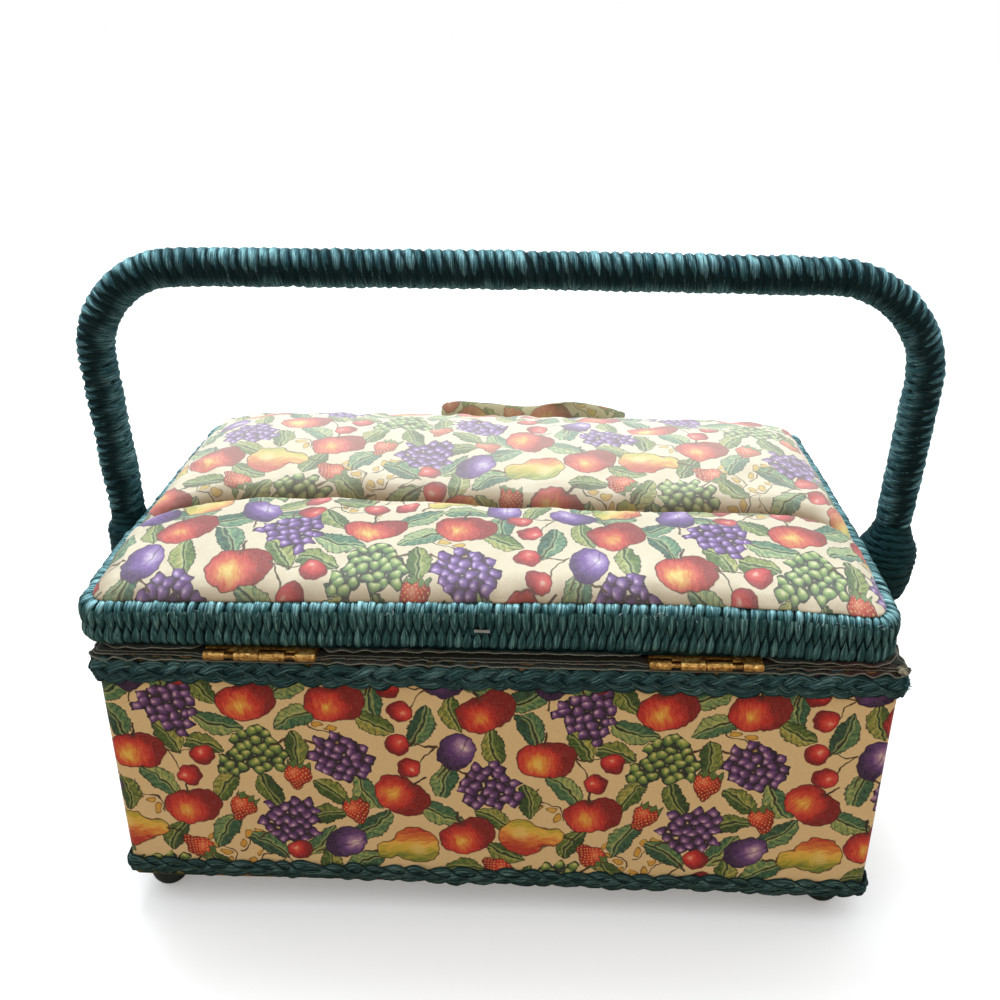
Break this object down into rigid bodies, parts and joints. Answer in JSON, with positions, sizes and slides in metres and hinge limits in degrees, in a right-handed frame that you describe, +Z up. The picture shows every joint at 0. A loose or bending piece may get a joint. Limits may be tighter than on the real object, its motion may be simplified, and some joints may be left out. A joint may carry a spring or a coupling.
{
  "type": "sewing basket",
  "caption": "Rectangular cloth-covered sewing basket on ball feet, with a padded hinged lid, corded rim, braided trim, fabric closing tab and a cord-wrapped swing handle.",
  "frame": {"origin": "on the surface the feet stand on, under the middle of the whole basket, its handle and closing tab included", "axes": "+Z up, +X along the long side, -Y towards the hinges, +Y towards the closing tab"},
  "size_m": [0.3356, 0.1829, 0.2402],
  "materials": {
    "print_cloth": "plain-weave cotton with an all-over fruit print",
    "teal_cord": "satin twisted cord, wound tight",
    "teal_braid": "flat three-strand raffia braid",
    "board": "grey-brown chipboard",
    "rim_wood": "plain softwood strip",
    "lining_cloth": "grey-green lining cloth",
    "wadding": "soft fibre stuffing",
    "brass": "worn stamped brass",
    "steel": "plain drawn wire",
    "foot_plastic": "dark teal, half gloss",
    "hook_loop": "hook and loop tape"
  },
  "bodies": {
    "box": {"base_sheet": "board", "bottom_board": "board", "bottom_braid": "teal_braid", "box_cover": "print_cloth", "box_lining_edge": "lining_cloth", "closure_patch_box": "hook_loop", "feet": "foot_plastic", "floor_pad": "lining_cloth", "foot_nails": "steel", "hinge_leaf_body_left": "brass", "hinge_leaf_body_right": "brass", "hinge_screws_body": "brass", "pivot_bush_left": "brass", "pivot_bush_right": "brass", "top_braid": "teal_braid", "wall_hinge_side": "board", "wall_latch_side": "board", "wall_left_end": "board", "wall_lining": "lining_cloth", "wall_right_end": "board"},
    "lid": {"closing_tab_root": "print_cloth", "hinge_leaf_lid_left": "brass", "hinge_leaf_lid_right": "brass", "hinge_pin_left": "brass", "hinge_pin_right": "brass", "hinge_screws_lid": "brass", "lid_board": "board", "lid_cover": "print_cloth", "lid_lining": "lining_cloth", "lid_lining_edge": "lining_cloth", "lid_pad": "wadding", "lid_rim_core": "rim_wood", "lid_rim_wrap": "teal_cord", "rim_staple": "steel"},
    "closing_tab": {"closing_tab_flap": "print_cloth", "closure_patch_tab": "hook_loop"},
    "handle": {"handle_cuff_left": "teal_cord", "handle_cuff_right": "teal_cord", "handle_filler": "wadding", "handle_rod": "steel", "handle_wrap": "teal_cord", "rod_end_caps": "steel", "spacer_sleeve_right": "steel"}
  },
  "joints": [
    {"name": "lid_hinge", "type": "hinge", "parent": "box", "child": "lid", "pos_m": [-0.00382, -0.0894, 0.1164], "axis": [1, 0, 0], "range_deg": [0, 36]},
    {"name": "tab_fold", "type": "hinge", "parent": "lid", "child": "closing_tab", "pos_m": [0.00967, 0.0886, 0.1426], "axis": [1, 0, 0], "range_deg": [0, 120]},
    {"name": "handle_swing", "type": "hinge", "parent": "box", "child": "handle", "pos_m": [-0.00382, -0.0014, 0.105], "axis": [1, 0, 0], "range_deg": [-133, 126]}
  ]
}
